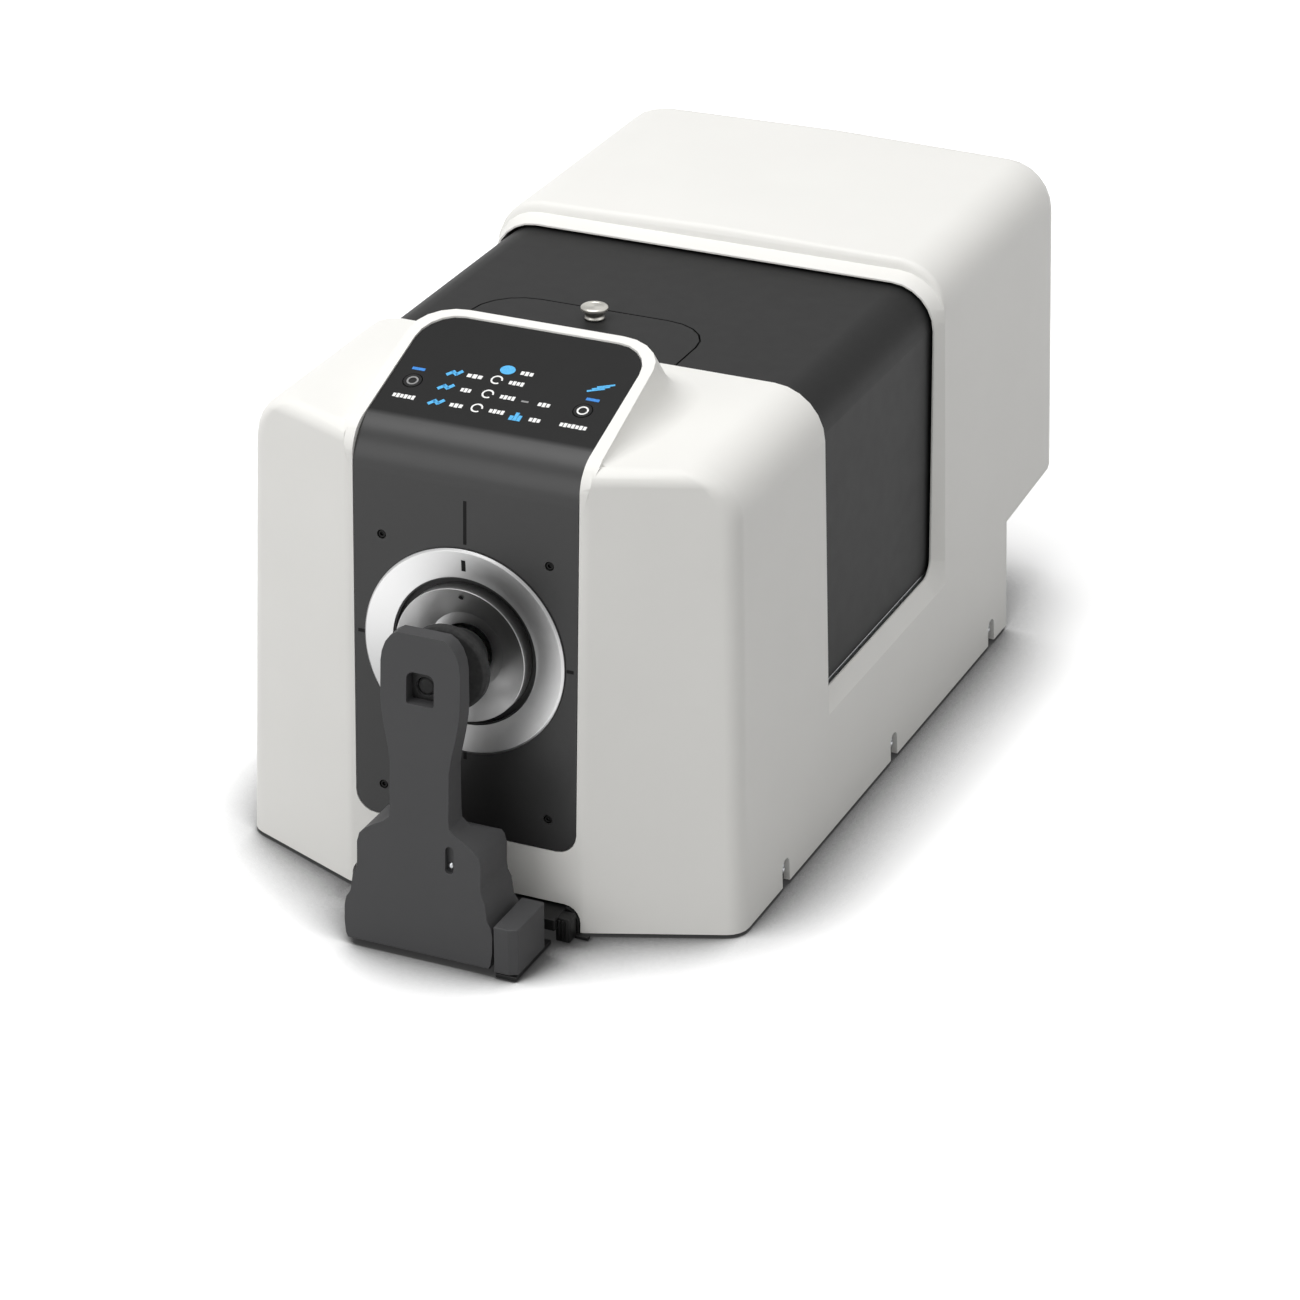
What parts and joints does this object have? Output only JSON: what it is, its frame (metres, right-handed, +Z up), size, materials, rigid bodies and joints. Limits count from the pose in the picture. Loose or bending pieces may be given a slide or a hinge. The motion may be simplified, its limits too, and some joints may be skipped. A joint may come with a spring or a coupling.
{
  "type": "benchtop colorimeter",
  "caption": "Benchtop colorimeter with a front measuring port, fold-down sample holder, sloped control panel, sliding chamber lid with a hinged door, and its optics inside.",
  "frame": {"origin": "centre of the bounding box at bench height", "axes": "+Z up, -Y towards the operator at the measuring port, +X to the operator's right"},
  "size_m": [0.2478, 0.4964, 0.2512],
  "materials": {
    "white_shell": "satin white moulding",
    "dark_panel": "fine matt dark grey",
    "dark_lid": "satin dark grey",
    "spun_metal": "turned, satin",
    "black_plastic": "matt black",
    "black_steel": "blackened",
    "rubber": "matt",
    "steel": "plain",
    "sheet": "mill finish",
    "lens_tube": "black anodised",
    "sphere_coat": "diffuse white",
    "glass": "clear",
    "board": "solder mask",
    "core": "varnished"
  },
  "bodies": {
    "instrument": {"main_cover": "white_shell", "front_panel": "dark_panel", "port_outer_ring": "spun_metal", "port_seat": "black_plastic", "holder_bracket": "black_plastic", "floor_tongue": "black_plastic", "damper_block": "black_plastic", "chamber_front_wall": "black_plastic", "chamber_rear_wall": "black_plastic", "spectrometer": "black_plastic", "connector_plate": "black_plastic", "power_inlet": "black_plastic", "switch_frame": "black_plastic", "flash_capacitor": "black_plastic", "panel_screw_1": "black_steel", "panel_screw_2": "black_steel", "panel_screw_3": "black_steel", "panel_screw_4": "black_steel", "foot_front_left": "rubber", "foot_front_right": "rubber", "foot_rear_left": "rubber", "foot_rear_right": "rubber", "torsion_spring": "steel", "holder_hinge_pin": "steel", "lid_rail_left": "steel", "lid_rail_right": "steel", "data_socket": "steel", "cover_screw_left_1": "steel", "cover_screw_left_2": "steel", "cover_screw_left_3": "steel", "cover_screw_right_1": "steel", "cover_screw_right_2": "steel", "cover_screw_right_3": "steel", "base_plate": "sheet", "optical_deck": "sheet", "lamp_housing": "sheet", "sphere_cradle": "sheet", "lens_mount": "sheet", "lens_barrel": "lens_tube", "sphere_front_half": "sphere_coat", "sphere_rear_half": "sphere_coat", "flash_lamp": "glass", "receiving_lens": "glass", "keypad_board": "board", "main_board": "board", "power_board": "board", "transformer": "core"},
    "arm": {"holder_arm": "dark_panel", "pad_spring": "steel"},
    "pad": {"sample_pad": "rubber"},
    "mask": {"target_mask": "spun_metal"},
    "lid": {"lid": "dark_lid", "door_hinge_pin": "steel"},
    "door": {"access_door": "dark_lid", "door_knob": "spun_metal"},
    "left_key": {"left_button": "dark_panel"},
    "right_key": {"right_button": "dark_panel"},
    "rocker": {"switch_rocker": "black_plastic"}
  },
  "joints": [
    {"name": "holder_swing", "type": "hinge", "parent": "instrument", "child": "arm", "pos_m": [0, -0.23875, 0.0134], "axis": [1, 0, 0], "range_deg": [0, 90], "stiffness_Nm_per_rad": 0.05, "springref_deg": -20.05},
    {"name": "pad_slide", "type": "slide", "parent": "arm", "child": "pad", "axis": [0, -1, 0], "range_m": [0, 0.003], "stiffness_N_per_m": 600, "springref_m": -0.001},
    {"name": "mask_turn", "type": "hinge", "parent": "instrument", "child": "mask", "pos_m": [0, -0.195, 0.1283], "axis": [0, -0.9993, 0.037], "range_deg": [0, 30]},
    {"name": "lid_slide", "type": "slide", "parent": "instrument", "child": "lid", "axis": [0, 1, 0], "range_m": [0, 0.086]},
    {"name": "door_swing", "type": "hinge", "parent": "lid", "child": "door", "pos_m": [0, -0.06025, 0.2134], "axis": [1, 0, 0], "range_deg": [0, 100]},
    {"name": "left_key_press", "type": "slide", "parent": "instrument", "child": "left_key", "axis": [0, 0.3289, -0.9444], "range_m": [0, 0.0008], "stiffness_N_per_m": 500, "springref_m": -0.0008},
    {"name": "right_key_press", "type": "slide", "parent": "instrument", "child": "right_key", "axis": [0, 0.3289, -0.9444], "range_m": [0, 0.0008], "stiffness_N_per_m": 500, "springref_m": -0.0008},
    {"name": "switch_rock", "type": "hinge", "parent": "instrument", "child": "rocker", "pos_m": [0.038, 0.16755, 0.033], "axis": [1, 0, 0], "range_deg": [-16, 0]}
  ]
}
